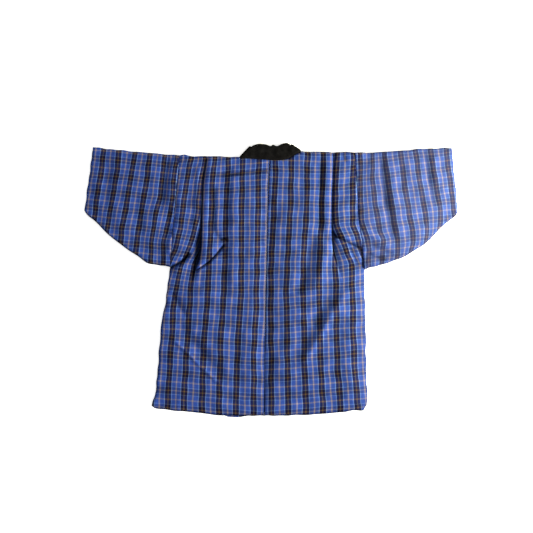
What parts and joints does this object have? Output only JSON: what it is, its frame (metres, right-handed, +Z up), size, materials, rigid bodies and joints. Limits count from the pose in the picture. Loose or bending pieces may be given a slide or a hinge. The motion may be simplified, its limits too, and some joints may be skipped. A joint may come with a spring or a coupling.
{
  "type": "hanten",
  "caption": "Short wadded jacket with wide sleeves and a band collar, checked cotton, laid flat with its back up.",
  "frame": {"origin": "on the floor under the middle of the outline, seen from above", "axes": "+X from the left cuff to the right cuff as laid, +Y from the hem up to the collar, +Z up from the floor, out of the back"},
  "size_m": [1.215, 0.891, 0.0171],
  "materials": {
    "checked_cotton": "woven check of blue and near-black bands with thin salmon and pale lines, soft sheen",
    "black_cotton": "matt black, short nap"
  },
  "bodies": {
    "root": {"body_left": "checked_cotton", "body_right": "checked_cotton", "sleeve_left": "checked_cotton", "sleeve_right": "checked_cotton", "collar": "black_cotton"}
  },
  "joints": []
}
